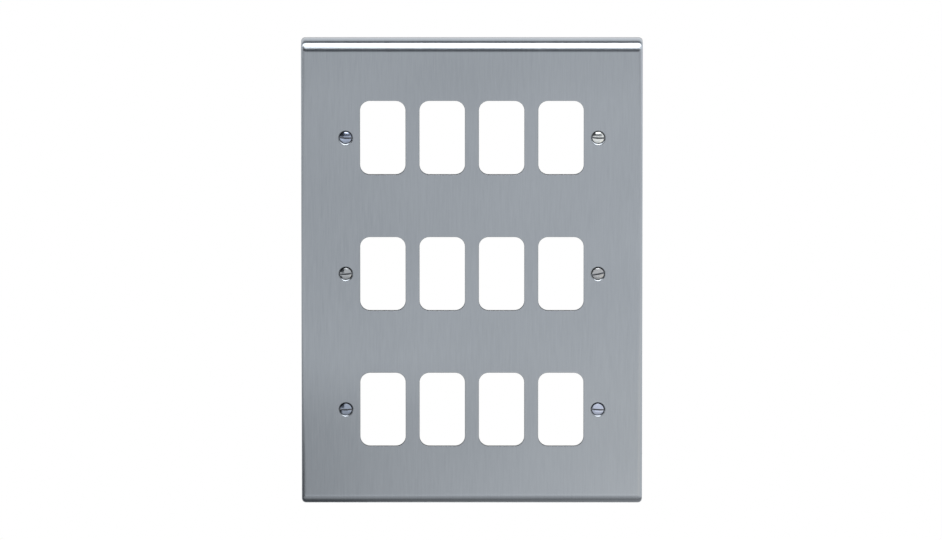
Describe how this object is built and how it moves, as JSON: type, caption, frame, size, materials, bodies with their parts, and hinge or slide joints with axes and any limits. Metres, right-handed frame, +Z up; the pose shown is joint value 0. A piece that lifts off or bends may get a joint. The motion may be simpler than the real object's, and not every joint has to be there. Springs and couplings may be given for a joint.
{
  "type": "grid switch plate",
  "caption": "Pressed brushed-steel front plate for a grid of switch modules, with rounded windows in rows, bull-nosed top and bottom edges and slotted fixing screws.",
  "frame": {"origin": "middle of the wall side: centre of the outline, on the plane of the back rim", "axes": "+Z up the wall, +Y into the wall, so the brushed face looks along -Y and X runs across"},
  "size_m": [0.146, 0.0154, 0.206],
  "materials": {
    "brushed_stainless_steel": "satin, brushed from top to bottom",
    "bright_plated_steel": "bright nickel-chrome plating"
  },
  "bodies": {
    "root": {"front_plate": "brushed_stainless_steel", "fixing_screws": "bright_plated_steel"}
  },
  "joints": []
}
